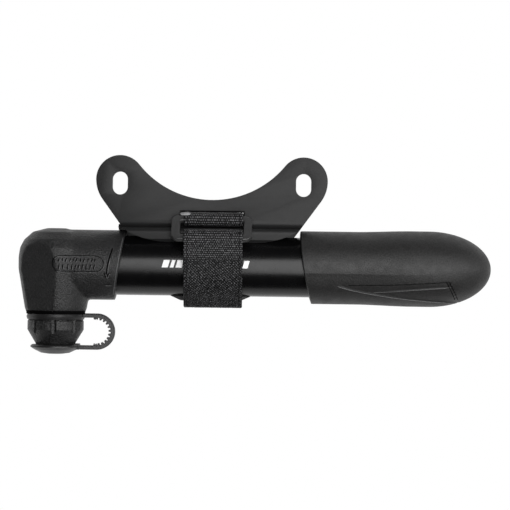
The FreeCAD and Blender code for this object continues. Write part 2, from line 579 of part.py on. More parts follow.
def slot_flare():
    """The strap slot opens out towards the front, so that the strap turns over a sloping edge."""
    back, over = "(slot_flare_back - axis_rise)", 1
    front = "(plate_thick - axis_rise)"
    rise = "(%s - %s)" % (front, back)
    left, right, high = "strap_left - strap_slot_side", "strap_right + strap_slot_side", "strap_slot_high"
    grow = "(1 + %g / %s)" % (over, rise)
    wedge = bind(doc.addObject("Part::Wedge", "strap_slot_flare"),
                 Xmin=left, Xmax=right, Ymin=back, Ymax="%s + %g" % (front, over),
                 Zmin="-(%s)" % high, Zmax="-strap_slot_low",
                 X2min="%s - slot_flare_left * %s" % (left, grow),
                 X2max="%s + slot_flare_right * %s" % (right, grow),
                 Z2min="-(%s) - slot_flare_high * %s" % (high, grow), Z2max="-strap_slot_low")
    wedge.Placement.Rotation = Rotation(Vector(1, 0, 0), 90)
    return wedge


def make_bracket():
    # a small tab carries the plate's left corner out over the head
    above_head = "socket_radius + head_gap"
    front = join("bracket_front", prism("bracket_face", bracket_outline(), "-20", "20", Vector(0, 0, 1)),
                 block("head_tab", ("-tab_reach", above_head, "-20"), ("-head_room", "tab_top", "20")))
    section = cradle_section()
    side = doc.addObject("Part::Extrusion", "bracket_side")
    side.Base = section
    side.Dir = Vector(1, 0, 0)
    side.Solid = True
    side.Symmetric = True
    bind(side, LengthFwd="boss_spacing * 1.5")
    doc.recompute()
    blank = common("bracket_blank", front, side)

    front_face = "plate_thick - axis_rise + 0.05"
    # the lip's lower corners are cut round, and it stays clear of the head and the handle
    corner_x = "lip_flat"
    corner_y = "lip_low + lip_corner"
    keep = join("lip_keep",
                rod("lip_corner_right", "lip_corner", "0", "20", x=corner_x, y=corner_y, along="Z"),
                rod("lip_corner_left", "lip_corner", "0", "20", x="-(" + corner_x + ")", y=corner_y, along="Z"),
                block("lip_middle", ("-(" + corner_x + ")", "lip_low - 0.2", "0"), (corner_x, "40", "20")),
                block("lip_plate", ("-60", "lip_top - 0.3", "0"), ("60", "60", "20")))
    waste = cut("lip_waste", block("lip_all", ("-60", "0", front_face), ("60", "60", "20")), keep)
    # only the plate is cut along the slant, because the longest side of the socket's end turns past the rest
    head_room = cut("head_room_cut",
                    join("head_room_blocks", slanted_block("head_room_plate", "-slant_back", front_face),
                         block("head_room_lip", ("-45", "-20", front_face), ("-head_room", "20", "20")),
                         block("head_room_back", ("-45", "-20", "-20"), ("-head_room", "20", "-slant_back"))),
                    block("head_room_keep", ("-50", above_head, "-21"), ("46", "30", "21")))
    slots = []
    for name, side_sign in (("left", "-"), ("right", "")):
        centre = side_sign + "boss_spacing / 2"
        half = "slot_width / 2"
        travel = "(slot_length - slot_width) / 2"
        slots += [rod("slot_%s_low" % name, half, "-10", "10", x=centre, y="axis_drop - " + travel, along="Z"),
                  rod("slot_%s_high" % name, half, "-10", "10", x=centre, y="axis_drop + " + travel, along="Z"),
                  block("slot_%s_mid" % name, (centre + " - " + half, "axis_drop - " + travel, "-10"),
                        (centre + " + " + half, "axis_drop + " + travel, "10"))]
    strap_slot = block("strap_slot", ("strap_left - strap_slot_side", "strap_slot_low", "-10"),
                       ("strap_right + strap_slot_side", "strap_slot_high", "10"))
    # behind the slot the back is relieved for the strap, so that only the seat beside it meets the frame
    channel = block("strap_channel", ("strap_left - channel_side", "channel_low", "-axis_rise - 0.5"),
                    ("strap_right + channel_side", "strap_slot_high + channel_side",
                     "-axis_rise + channel_depth"))
    subpart(cut("bracket", blank, waste, head_room, strap_slot, slot_flare(), channel, *slots), "bracket")


# ---------------------------------------------------------------- strap and buckle
def straight(start, end):
    """A straight edge."""
    return Part.LineSegment(start, end).toShape()


def around(radius, degrees, y=0.0, z=0.0):
    """A point of the barrel's cross section at a radius from a centre, by its angle from +Z towards -Y."""
    turn = math.radians(degrees)
    return Vector(0, y - radius * math.sin(turn), z + radius * math.cos(turn))


def bend(radius, first, last, y=0.0, z=0.0):
    """An arc between two such angles."""
    middle = around(radius, (first + last) / 2, y, z)
    return Part.Arc(around(radius, first, y, z), middle, around(radius, last, y, z)).toShape()


def webbing(edges):
    """Flat strap along a centre line in the cross section, with its rounded ends, as wide as the strap."""
    left, right = Vector(value("strap_left"), 0, 0), Vector(value("strap_right"), 0, 0)
    face = Part.Wire(edges).makeOffset2D(value("web_thick") / 2, 0, True, False)
    return face.translated(left).extrude(right - left)


def strap_lines():
    """The strap's radii and the angles at which it meets and leaves the barrel, the cradle and the lower bar."""
    half, gap = value("web_thick") / 2, value("web_gap")
    line = {"fold": value("fold_inner") + half, "barrel": value("barrel_radius + cradle_gap") + half,
            "cradle": value("barrel_radius + cradle_gap + cradle_wall") + gap + half,
            "cradle_end": 90 - value("cradle_stop"),
            "step": value("web_thick") + gap, "bar_y": value("lower_bar_y"), "bar_z": value("lower_bar_z")}
    span = math.hypot(line["bar_y"], line["bar_z"])
    toward = math.degrees(math.atan2(-line["bar_y"], line["bar_z"]))
    # the band crosses between the bar and the barrel, and the tail runs over both
    line["band_meets"] = toward + math.degrees(math.acos((line["fold"] + line["barrel"]) / span))
    tail_barrel = line["barrel"] + line["step"]
    line["tail_meets"] = toward + math.degrees(math.acos((tail_barrel - line["fold"]) / span))
    return line


def make_strap():
    line = strap_lines()
    half, gap = value("web_thick") / 2, value("web_gap")
    up_y, up_z, bar = value("upper_bar_y"), value("upper_bar_z"), value("bar_radius")
    fold, barrel, cradle, end = line["fold"], line["barrel"], line["cradle"], line["cradle_end"]
    bar_y, bar_z, meets = line["bar_y"], line["bar_z"], line["band_meets"]
    leaves = end - math.degrees(math.acos(barrel / cradle))
    # the two layers of the sewn end pass through the slot side by side
    loop = bar + gap + half
    under, over = -value("axis_rise") - 0.4, up_y + loop
    mouth = Vector(0, over, under)
    away = math.degrees(math.atan2(-mouth.y, mouth.z)) % 360 - math.degrees(math.acos(cradle / mouth.Length))
    split = line["tail_meets"] - math.degrees((2 * half + 0.15) / fold)
    band = webbing([bend(fold, split, meets - 180, bar_y, bar_z),
                    straight(around(fold, meets - 180, bar_y, bar_z), around(barrel, meets)),
                    bend(barrel, meets, leaves), straight(around(barrel, leaves), around(cradle, end)),
                    bend(cradle, end, away), straight(around(cradle, away), mouth),
                    straight(mouth, Vector(0, over, up_z)), bend(loop, -90, 180, up_y, up_z)])
    inner = Vector(0, over - 2 * half, under)
    slope = (around(cradle, away) - mouth).normalize()
    corner = Vector(0, inner.y, up_z - loop)
    lap = webbing([straight(around(loop, 180, up_y, up_z), corner), straight(corner, inner),
                   straight(inner, inner + slope * 6)])
    piece = doc.addObject("Part::Feature", "strap_band")
    piece.Shape = band.fuse(lap).removeSplitter()
    subpart(piece, "strap_band")

    # the tail hooks on over the band, from the front of the fold down to the underside
    tail_barrel, tail_cradle = barrel + line["step"], cradle + line["step"]
    meets = line["tail_meets"]
    lands = leaves + math.degrees(math.acos(tail_barrel / tail_cradle))
    tail = doc.addObject("Part::Feature", "strap_tail")
    tail.Shape = webbing([straight(around(fold, meets, bar_y, bar_z), around(tail_barrel, meets)),
                          bend(tail_barrel, meets, leaves),
                          straight(around(tail_barrel, leaves), around(tail_cradle, lands)),
                          bend(tail_cradle, lands, value("tail_end"))])
    subpart(tail, "strap_tail")
    pivot = around(fold, meets, bar_y - value("axis_drop"), bar_z + value("axis_rise"))
    print("strap hinge at Y %.3f Z %.3f" % (pivot.y, pivot.z))


def make_buckle():
    """A rectangular ring of round bar, tilted from the plate up over the lip."""
    bar, corner = value("bar_radius"), value("buckle_corner")
    left, right = value("buckle_left") + bar, value("buckle_right") - bar
    upper = Vector(0, value("upper_bar_y"), value("upper_bar_z"))
    lower = Vector(0, value("lower_bar_y"), value("lower_bar_z"))
    height = (lower - upper).Length
    down = (lower - upper).normalize()

    def spot(x, depth):
        return Vector(x, 0, 0) + upper + down * depth

    inset = corner * (1 - math.sqrt(0.5))
    corners = ((left, 0, 1, 1), (right, 0, -1, 1), (right, height, -1, -1), (left, height, 1, -1))
    ends = []
    for x, depth, along, inward in corners:
        middle = spot(x + along * inset, depth + inward * inset)
        ends.append((spot(x + along * corner, depth), middle, spot(x, depth + inward * corner)))
    a, b, c, d = ends
    # the ring starts and closes in the middle of its upper bar
    start = (a[0] + b[0]) * 0.5
    ring = Part.Wire([Part.Circle(start, Vector(1, 0, 0), bar).toShape()])
    edges = [straight(start, b[0]), Part.Arc(*b).toShape(), straight(b[2], c[2]),
             Part.Arc(*reversed(c)).toShape(), straight(c[0], d[0]), Part.Arc(*d).toShape(),
             straight(d[2], a[2]), Part.Arc(*reversed(a)).toShape(), straight(a[0], start)]
    piece = doc.addObject("Part::Feature", "buckle_ring")
    piece.Shape = Part.Wire(edges).makePipeShell([ring], True, False)
    subpart(piece, "buckle_ring")


PIECES = (make_barrel, make_spindle, make_guide, make_piston, make_rod, make_handle, make_head, make_plunger,
          make_nozzle, make_cap, make_bracket, make_strap, make_buckle)
for make in PIECES:
    make()
doc.recompute()

# ---------------------------------------------------------------- checks and export
for thing in doc.Objects:
    if "Invalid" in thing.State or "Error" in thing.State:
        raise RuntimeError("%s failed: %s" % (thing.Name, thing.State))
os.makedirs("parts", exist_ok=True)
for thing in SUBPARTS:
    shape = thing.Shape
    if shape.isNull() or not shape.isValid() or not shape.Solids:
        raise RuntimeError("%s has no valid solid" % thing.Label)
    shape.exportStep("parts/%s.step" % thing.Label)
    box = shape.BoundBox
    spans = (box.XMin, box.XMax, box.YMin, box.YMax, box.ZMin, box.ZMax)
    print("%-20s %9.1f mm3  solids %d  X %7.2f %7.2f  Y %7.2f %7.2f  Z %7.2f %7.2f" % (
        (thing.Label, shape.Volume, len(shape.Solids)) + spans))
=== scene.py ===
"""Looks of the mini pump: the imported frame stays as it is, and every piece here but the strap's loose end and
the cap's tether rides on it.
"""
import json
import math
import random

import bmesh
import bpy
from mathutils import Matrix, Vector, noise
from mathutils.bvhtree import BVHTree


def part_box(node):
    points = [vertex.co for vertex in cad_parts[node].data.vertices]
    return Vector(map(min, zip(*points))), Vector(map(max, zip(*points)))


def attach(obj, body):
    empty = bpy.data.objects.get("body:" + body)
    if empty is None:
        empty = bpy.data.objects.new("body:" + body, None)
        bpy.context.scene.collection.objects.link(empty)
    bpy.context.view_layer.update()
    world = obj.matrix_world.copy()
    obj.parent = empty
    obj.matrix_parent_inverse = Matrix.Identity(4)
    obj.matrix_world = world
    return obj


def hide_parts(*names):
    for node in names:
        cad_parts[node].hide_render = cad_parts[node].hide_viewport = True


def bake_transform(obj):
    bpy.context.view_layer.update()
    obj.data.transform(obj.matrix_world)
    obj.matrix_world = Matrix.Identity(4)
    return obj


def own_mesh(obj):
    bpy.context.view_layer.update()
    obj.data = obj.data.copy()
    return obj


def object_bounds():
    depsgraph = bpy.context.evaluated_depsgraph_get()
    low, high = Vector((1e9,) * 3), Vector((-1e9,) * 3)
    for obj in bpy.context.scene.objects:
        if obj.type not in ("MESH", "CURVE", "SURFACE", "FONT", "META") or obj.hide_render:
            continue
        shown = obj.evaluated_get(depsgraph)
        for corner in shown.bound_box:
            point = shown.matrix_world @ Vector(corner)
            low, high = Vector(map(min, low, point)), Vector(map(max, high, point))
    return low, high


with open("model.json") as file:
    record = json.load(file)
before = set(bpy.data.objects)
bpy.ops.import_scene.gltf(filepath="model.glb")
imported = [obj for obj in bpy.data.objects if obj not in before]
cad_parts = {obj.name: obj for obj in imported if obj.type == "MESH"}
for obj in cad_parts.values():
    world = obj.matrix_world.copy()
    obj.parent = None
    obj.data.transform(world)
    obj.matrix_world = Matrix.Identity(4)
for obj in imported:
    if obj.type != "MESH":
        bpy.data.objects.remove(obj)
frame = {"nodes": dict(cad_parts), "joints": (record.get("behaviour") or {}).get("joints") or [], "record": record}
CAD_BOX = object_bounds()
MM = 0.001

# ---------------------------------------------------------------- places taken from the frame
BARREL_LOW, BARREL_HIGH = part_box("barrel_tube")
AXIS_Y, AXIS_Z = (BARREL_LOW.y + BARREL_HIGH.y) / 2, (BARREL_LOW.z + BARREL_HIGH.z) / 2
BARREL_R = (BARREL_HIGH.y - BARREL_LOW.y) / 2
FLOOR_Z = CAD_BOX[0][2]
BUCKLE_LOW, BUCKLE_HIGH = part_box("buckle_ring")
BUCKLE_BAR = 1.2
HEAD_LOW, HEAD_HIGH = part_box("head_shell")
SOCKET_R = 12.2
SOCKET_LEAN = 3.9 / 24.4


def joint(name):
    """A joint of the frame by its name."""
    return [item for item in frame["joints"] if item["name"] == name][0]


def link(piece):
    """Puts a new object in the scene."""
    bpy.context.scene.collection.objects.link(piece)
    return piece


# ---------------------------------------------------------------- camera and light
def make_camera():
    """Straight down on the pump through a long lens, rolled a little."""
    height, view_width = 0.9, 0.17826
    data = bpy.data.cameras.new("camera")
    data.sensor_width = 36
    data.lens = 36 * height / view_width
    data.clip_end = 10
    camera = bpy.data.objects.new("camera", data)
    camera.location = (0.01535, -0.02449, AXIS_Z + height)
    camera.rotation_euler = (0, 0, 0.01365)
    bpy.context.scene.camera = link(camera)


def area_light(name, spot, target, size, power):
    """A soft rectangular lamp that looks at a target."""
    data = bpy.data.lights.new(name, "AREA")
    data.shape = "RECTANGLE"
    data.size, data.size_y = size
    data.energy = power
    lamp = bpy.data.objects.new(name, data)
    lamp.location = spot
    lamp.rotation_euler = (Vector(target) - Vector(spot)).to_track_quat("-Z", "Y").to_euler()
    link(lamp)


def make_studio():
    """A glowing white table and a pale wall, as in a catalogue shot, and two soft boxes over the pump."""
    middle = (0.015, AXIS_Y, AXIS_Z)
    area_light("key", (0.2, AXIS_Y + 0.06, 0.95), middle, (0.98, 0.7), 11.5)
    area_light("side", (1.0, AXIS_Y + 0.12, 0.68), middle, (0.35, 0.6), 5.0)
    world = bpy.data.worlds.new("studio")
    world.use_nodes = True
    world.node_tree.nodes["Background"].inputs["Color"].default_value = (1, 1, 1, 1)
    world.node_tree.nodes["Background"].inputs["Strength"].default_value = 0.03
    bpy.context.scene.world = world
    bpy.context.scene.view_settings.view_transform = "Standard"
    half, z = 1.5, FLOOR_Z - 0.004
    mesh = bpy.data.meshes.new("floor")
    corners = [(-half, -half, z), (half, -half, z), (half, half, z), (-half, half, z)]
    mesh.from_pydata(corners, [], [(0, 1, 2, 3)])
    floor = link(bpy.data.objects.new("floor", mesh))
    mesh.materials.append(glowing("table_glow", (1, 1, 1)))
    # a pale wall all round, which only the camera sees, so that it adds no light
    build = bmesh.new()
    bmesh.ops.create_icosphere(build, subdivisions=4, radius=4.0)
    mesh = bpy.data.meshes.new("backdrop")
    build.to_mesh(mesh)
    build.free()
    wall = link(bpy.data.objects.new("backdrop", mesh))
    mesh.materials.append(glowing("backdrop_glow", (0.9, 0.9, 0.91)))
    wall.visible_diffuse = wall.visible_glossy = wall.visible_transmission = wall.visible_shadow = False


# ---------------------------------------------------------------- materials
def shader(name):
    """A new node material and its Principled shader."""
    material = bpy.data.materials.new(name)
    material.use_nodes = True
    return material, material.node_tree, material.node_tree.nodes["Principled BSDF"]


def glowing(name, colour):
    """A surface that only gives light, of one colour."""
    material, _, surface = shader(name)
    surface.inputs["Base Color"].default_value = (0, 0, 0, 1)
    surface.inputs["Specular IOR Level"].default_value = 0
    surface.inputs["Emission Color"].default_value = (*colour, 1)
    surface.inputs["Emission Strength"].default_value = 1.0
    return material


def plain(name, colour, roughness, specular):
    """One colour with one gloss."""
    material, _, surface = shader(name)
    surface.inputs["Base Color"].default_value = (*colour, 1)
    surface.inputs["Roughness"].default_value = roughness
    surface.inputs["Specular IOR Level"].default_value = specular
    return material


def speckle(tree, scale, detail, stretch=(1, 1, 1)):
    """Noise in the object's own space; scale is in features per metre."""
    place = tree.nodes.new("ShaderNodeTexCoord")
    mapping = tree.nodes.new("ShaderNodeMapping")
    mapping.inputs["Scale"].default_value = stretch
    texture = tree.nodes.new("ShaderNodeTexNoise")
    texture.inputs["Scale"].default_value = scale
    texture.inputs["Detail"].default_value = detail
    tree.links.new(place.outputs["Object"], mapping.inputs["Vector"])
    tree.links.new(mapping.outputs["Vector"], texture.inputs["Vector"])
    return texture


def between(tree, texture, low, high, first, second):
    """A colour ramp over a texture from one colour to another."""
    ramp = tree.nodes.new("ShaderNodeValToRGB")
    ramp.color_ramp.elements[0].position, ramp.color_ramp.elements[1].position = low, high
    ramp.color_ramp.elements[0].color = (*first, 1)
    ramp.color_ramp.elements[1].color = (*second, 1)
    tree.links.new(texture.outputs[0], ramp.inputs["Fac"])
    return ramp


def add_bump(tree, surface, texture, depth):
    """Bump from a texture, its depth in metres."""
    bump = tree.nodes.new("ShaderNodeBump")
    bump.inputs["Strength"].default_value = 1.0
    bump.inputs["Distance"].default_value = depth
    tree.links.new(texture.outputs[0], bump.inputs["Height"])
    tree.links.new(bump.outputs["Normal"], surface.inputs["Normal"])


def grained(name, dark, light, roughness, grain, depth, specular, patch=90, spread=0.08, fleck=0.0):
    """Plastic or rubber: a moulded grain with light flecks, slow colour drift and uneven gloss."""
    material, tree, surface = shader(name)
    drift = between(tree, speckle(tree, patch, 3), 0.3, 0.7, dark, light)
    texture = speckle(tree, grain, 3)
    flecks = between(tree, texture, 0.38, 0.62, (1 - fleck,) * 3, (1 + fleck,) * 3)
    mix = tree.nodes.new("ShaderNodeMix")
    mix.data_type = "RGBA"
    mix.blend_type = "MULTIPLY"
    mix.inputs["Factor"].default_value = 1.0
    tree.links.new(drift.outputs["Color"], mix.inputs["A"])
    tree.links.new(flecks.outputs["Color"], mix.inputs["B"])
    tree.links.new(mix.outputs["Result"], surface.inputs["Base Color"])
    gloss = speckle(tree, patch * 4, 4)
    shades = between(tree, gloss, 0.25, 0.75, (roughness - spread,) * 3, (roughness + spread,) * 3)
    tree.links.new(shades.outputs["Color"], surface.inputs["Roughness"])
    surface.inputs["Specular IOR Level"].default_value = specular
    add_bump(tree, surface, texture, depth)
    return material


def brushed(name, dark, light, roughness):
    """Drawn or turned metal with fine lines."""
    material, tree, surface = shader(name)
    lines = speckle(tree, 120, 4, stretch=(1, 40, 40))
    tree.links.new(between(tree, lines, 0.3, 0.7, dark, light).outputs["Color"], surface.inputs["Base Color"])
    shades = between(tree, lines, 0.3, 0.7, (roughness - 0.05,) * 3, (roughness + 0.08,) * 3)
    tree.links.new(shades.outputs["Color"], surface.inputs["Roughness"])
    surface.inputs["Metallic"].default_value = 1.0
    add_bump(tree, surface, lines, 0.00001)
    return material


def fabric(name, dark, light, scale, depth):
    """Felt: light and dark fibres and a soft sheen."""
    material, tree, surface = shader(name)
    fibres = speckle(tree, scale, 4)
    shades = between(tree, fibres, 0.36, 0.68, dark, light)
    tree.links.new(shades.outputs["Color"], surface.inputs["Base Color"])
    surface.inputs["Roughness"].default_value = 0.75
    surface.inputs["Specular IOR Level"].default_value = 0.35
    surface.inputs["Sheen Weight"].default_value = 0.25
    surface.inputs["Sheen Roughness"].default_value = 0.5
    add_bump(tree, surface, fibres, depth)
    return material


def woven(name):
    """Black nylon with a painted highlight on its thread tops and painted shade in its gaps, both by the height
    stored on the mesh.
    """
    material, tree, surface = shader(name)
    height = tree.nodes.new("ShaderNodeAttribute")
    height.attribute_name = "thread"
    fuzz = speckle(tree, 1500, 2)
    rough = tree.nodes.new("ShaderNodeMath")
    rough.operation = "MULTIPLY_ADD"
    rough.inputs[1].default_value = 1.0
    tree.links.new(fuzz.outputs[0], rough.inputs[0])
    tree.links.new(height.outputs["Fac"], rough.inputs[2])
    ramp = tree.nodes.new("ShaderNodeValToRGB")
    # the colour runs from painted shade in the gaps to a painted highlight on the thread tops
    stops = ramp.color_ramp.elements
    stops[0].position, stops[0].color = 0.32, (0.0008, 0.0008, 0.0009, 1)
    stops[1].position, stops[1].color = 0.92, (0.13, 0.13, 0.134, 1)
    middle = stops.new(0.58)
    middle.color = (0.0065, 0.0065, 0.007, 1)
    half = tree.nodes.new("ShaderNodeMath")
    half.operation = "MULTIPLY"
    half.inputs[1].default_value = 0.62
    tree.links.new(rough.outputs[0], half.inputs[0])
    tree.links.new(half.outputs[0], ramp.inputs["Fac"])
    tree.links.new(ramp.outputs["Color"], surface.inputs["Base Color"])
    surface.inputs["Roughness"].default_value = 0.6
    surface.inputs["Specular IOR Level"].default_value = 0.14
    add_bump(tree, surface, fuzz, 0.00005)
    return material


MATERIALS = {
    "anodised_black": (grained, (0.0016, 0.0016, 0.0018), (0.0026, 0.0026, 0.0028), 0.26, 9000, 0.000002,
                       0.27, {"patch": 60, "spread": 0.03, "fleck": 0.1}),
    "bare_aluminium": (brushed, (0.55, 0.55, 0.57), (0.75, 0.75, 0.77), 0.28, {}),
    "steel": (brushed, (0.36, 0.37, 0.39), (0.55, 0.56, 0.58), 0.32, {}),
    "shell_plastic": (grained, (0.006, 0.006, 0.0062), (0.0076, 0.0076, 0.0078), 0.46, 1900, 0.0003, 0.42,
                      {"fleck": 0.7}),
    "bracket_plastic": (grained, (0.0105, 0.0105, 0.0107), (0.012, 0.012, 0.0122), 0.45, 3500, 0.000012, 0.2,
                        {"spread": 0.02, "fleck": 0.12}),
    "grip_rubber": (grained, (0.0092, 0.009, 0.0089), (0.0112, 0.011, 0.0109), 0.53, 2200, 0.0001, 0.42,
                    {"fleck": 0.45}),
    "inner_plastic": (grained, (0.03, 0.03, 0.032), (0.05, 0.05, 0.052), 0.45, 4000, 0.00001, 0.5,
                      {"fleck": 0.1}),
    "white_acetal": (grained, (0.72, 0.71, 0.68), (0.82, 0.81, 0.78), 0.35, 4000, 0.00001, 0.5,
                     {"fleck": 0.02}),
    "seal_rubber": (grained, (0.012, 0.012, 0.012), (0.02, 0.02, 0.02), 0.6, 5000, 0.00001, 0.5,
                    {"fleck": 0.1}),
    "cap_rubber": (grained, (0.008, 0.008, 0.0082), (0.0115, 0.0115, 0.0118), 0.42, 2800, 0.00003, 0.4,
                   {"fleck": 0.25}),
    "webbing": (woven, {}),
    "felt": (fabric, (0.3, 0.29, 0.26), (0.5, 0.48, 0.44), 5000, 0.0001, {}),
    # painted stand-in for the shaded table seen through the left end of the strap slot
    "sealed_nylon": (grained, (0.17, 0.17, 0.175), (0.26, 0.26, 0.265), 0.4, 2500, 0.00004, 0.4,
                     {"fleck": 0.2}),
    # edge_glint is a painted highlight and edge_shadow painted shade, both laid as thin tubes along edges and cut
    # lines
    "edge_glint": (grained, (0.06, 0.06, 0.061), (0.09, 0.09, 0.092), 0.35, 3500, 0.00001, 0.6,
                   {"fleck": 0.3}),
    "edge_shadow": (plain, (0.0012, 0.0012, 0.0012), 0.8, 0.03, {}),
    "print_white": (plain, (0.82, 0.82, 0.82), 0.5, 0.5, {}),
    "buckle_plastic": (grained, (0.028, 0.028, 0.0283), (0.034, 0.034, 0.0343), 0.36, 3500, 0.00001, 0.45,
                       {"fleck": 0.15}),
}
MADE = {}


def finish_of(name):
    """A material by its name, made once."""
    if name not in MADE:
        make, *values, options = MATERIALS[name]
        MADE[name] = make(name, *values, **options)
    return MADE[name]


def dress(piece, slot):
    """Gives a new piece its slot and material."""
    piece.data.materials.clear()
    piece.data.materials.append(finish_of(slot))


def dress_cad():
    """Every CAD node gets the detailed material of its slot."""
    for part in frame["record"]["subparts"]:
        node = frame["nodes"][part["node"]]
        material = finish_of(part["material_slot"])
        if not node.material_slots:
            node.data.materials.append(material)
        for place in node.material_slots:
            place.material = material


# ---------------------------------------------------------------- mesh helpers
def solid_piece(name, verts, faces, slot, body, replaced=(), smooth=True):
    """A mesh piece in its material, riding on its body and standing for the CAD nodes it replaces."""
    mesh = bpy.data.meshes.new(name)
    mesh.from_pydata([tuple(v) for v in verts], [], faces)
    build = bmesh.new()
    build.from_mesh(mesh)
    bmesh.ops.recalc_face_normals(build, faces=build.faces)
    build.to_mesh(mesh)
    build.free()
    mesh.polygons.foreach_set("use_smooth", [smooth] * len(mesh.polygons))
    piece = link(bpy.data.objects.new(name, mesh))
    dress(piece, slot)
    if body:
        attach(piece, body)
    if replaced:
        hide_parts(*replaced)
    return piece


def apply_modifiers(piece):
    """Turns a piece's modifiers into its mesh."""
    evaluated = piece.evaluated_get(bpy.context.evaluated_depsgraph_get())
    mesh = bpy.data.meshes.new_from_object(evaluated)
    mesh.name = piece.name
    old = piece.data
    piece.modifiers.clear()
    piece.data = mesh
    bpy.data.meshes.remove(old)


def rounded(piece, width, segments, degrees):
    """Adds a bevel on the edges sharper than an angle."""
    bevel = piece.modifiers.new("rounding", "BEVEL")
    bevel.width, bevel.segments = width * MM, segments
    bevel.limit_method = "ANGLE"
    bevel.angle_limit = math.radians(degrees)


def copied(node, name):
    """A loose copy of a CAD node's mesh, to be reworked."""
    mesh = frame["nodes"][node].data.copy()
    mesh.name = name
    build = bmesh.new()
    build.from_mesh(mesh)
    bmesh.ops.remove_doubles(build, verts=build.verts, dist=0.002 * MM)
    build.to_mesh(mesh)
    build.free()
    return link(bpy.data.objects.new(name, mesh))


def settle(piece, slot, body, *replaced):
    """Applies a piece's modifiers, then dresses it and puts it on its body."""
    apply_modifiers(piece)
    piece.data.polygons.foreach_set("use_smooth", [True] * len(piece.data.polygons))
    dress(piece, slot)
    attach(piece, body)
    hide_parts(*replaced)


def sharpen(piece, degrees):
    """Splits the shading along edges sharper than an angle."""
    build = bmesh.new()
    build.from_mesh(piece.data)
    limit = math.radians(degrees)
    for edge in build.edges:
        edge.smooth = len(edge.link_faces) != 2 or edge.calc_face_angle(0.0) < limit
    build.to_mesh(piece.data)
    build.free()


def wrapped_faces(rings, count, ends="filled"):
    """Faces of a tube made of equal closed rings, whose ends are filled, open or joined to each other."""
    faces = []
    for i in range(rings if ends == "joined" else rings - 1):
        here, ahead = i * count, (i + 1) % rings * count
        for j in range(count):
            k = (j + 1) % count
            faces.append((here + j, here + k, ahead + k, ahead + j))
    if ends == "filled":
        faces.append(tuple(range(count)))
        faces.append(tuple((rings - 1) * count + j for j in range(count)))
    return faces


def smooth_step(low, high, x):
    """0 below low, 1 above high and a soft rise between them."""
    t = min(1.0, max(0.0, (x - low) / (high - low)))
    return t * t * (3 - 2 * t)


def at(x, y, z):
    """A point of the barrel frame, in mm, as a row-frame point in metres."""
    return Vector((x * MM, AXIS_Y + y * MM, AXIS_Z + z * MM))


def buckle_bars():
    """The middles of the buckle's upper and lower bars in the cross section, in mm."""
    upper = Vector(((BUCKLE_HIGH.y - AXIS_Y) / MM - BUCKLE_BAR, (BUCKLE_LOW.z - AXIS_Z) / MM + BUCKLE_BAR))
    lower = Vector(((BUCKLE_LOW.y - AXIS_Y) / MM + BUCKLE_BAR, (BUCKLE_HIGH.z - AXIS_Z) / MM - BUCKLE_BAR))
    return upper, lower


def socket_end(y):
    """Where the head's slanted end lies along the barrel at a height, in mm."""
    return HEAD_HIGH.x / MM - SOCKET_LEAN * (SOCKET_R - y)


def tube(name, points, radius, slot, body, closed=False, material=None):
    """A thin round bead along points, radius in mm, thinning to its ends when it is open."""
    rings, verts, sides = len(points), [], 8
    radius *= MM
    for i, point in enumerate(points):
        ahead = points[(i + 1) % rings] if closed or i < rings - 1 else point
        behind = points[i - 1] if closed or i > 0 else point
        along = (ahead - behind).normalized()
        side = along.cross(Vector((0, 0, 1))).normalized()
        up = side.cross(along)
        size = radius if closed or 0 < i < rings - 1 else radius * 0.35
        for k in range(sides):
            turn = 2 * math.pi * k / sides
            verts.append(point + (side * math.cos(turn) + up * math.sin(turn)) * size)
    faces = wrapped_faces(rings, sides, "joined" if closed else "filled")
    piece = solid_piece(name, verts, faces, slot, body)
    if material:
        piece.data.materials[0] = finish_of(material)


def skin_of(piece):
    """A tree of a piece's faces, for rays that look for its skin."""
    mesh = piece.data
    return BVHTree.FromPolygons([v.co for v in mesh.vertices], [p.vertices for p in mesh.polygons])


# ---------------------------------------------------------------- strap
HINGE = Vector(joint("strap_peel")["pos_m"])
BAND_LOW, BAND_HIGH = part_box("strap_band")
STRAP_LEFT, STRAP_RIGHT = BAND_LOW.x / MM, BAND_HIGH.x / MM
WEB = 1.1                      # thickness of the webbing
SPARE = 0.3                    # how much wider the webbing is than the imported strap
STEP = 0.17                    # spacing of the points along its path
RIB, CELL = 0.74, 0.8          # pitch of the ribs and of the cells across them
RELIEF = 0.17                  # height of a rib
COLUMNS = 132


def arc(centre, radius, first, last):
    """Points along an arc in the cross section; angles are from +Z towards -Y."""
    count = max(3, int(abs(math.radians(last - first)) * radius / STEP))
    spots = []
    for i in range(count + 1):
        turn = math.radians(first + (last - first) * i / count)
        spots.append(Vector((centre[0] - radius * math.sin(turn), centre[1] + radius * math.cos(turn))))
    return spots


def joined(*parts):
    """One evenly spaced path from several stretches."""
    rough = [spot for part in parts for spot in part]
    path = [rough[0]]
    for spot in rough[1:]:
        gap = (spot - path[-1]).length
        if gap > 1e-6:
            count, start = max(1, round(gap / STEP)), path[-1]
            path += [start.lerp(spot, (k + 1) / count) for k in range(count)]
    return path


def rib_relief(along, across):
    """Plain-woven webbing: cross ribs broken into cells, every other rib shifted by half a cell."""
    row = math.floor(along / RIB)
    ridge = math.sin(math.pi * (along / RIB - row))
    cell = math.cos(2 * math.pi * (across / CELL + 0.5 * (row % 2)))
    rough = noise.noise(Vector((along * 2.1, across * 2.1, 7)))
    return RELIEF * ridge * (0.7 + 0.3 * cell) + 0.05 * rough


def pile_relief(along, across):
    """Brushed loop pile: tangled tufts of two sizes."""
    tuft = abs(noise.noise(Vector((along * 2.3, across * 2.3, 3))))
    drift = 2.5 * noise.noise(Vector((along, across, 8)))
    loops = math.sin(along * 6.4 + drift) * math.sin(across * 6.0 + drift)
    fine = noise.noise(Vector((along * 3.8, across * 3.8, 11)))
    return 0.02 + 0.12 * tuft + 0.12 * loops + 0.14 * fine


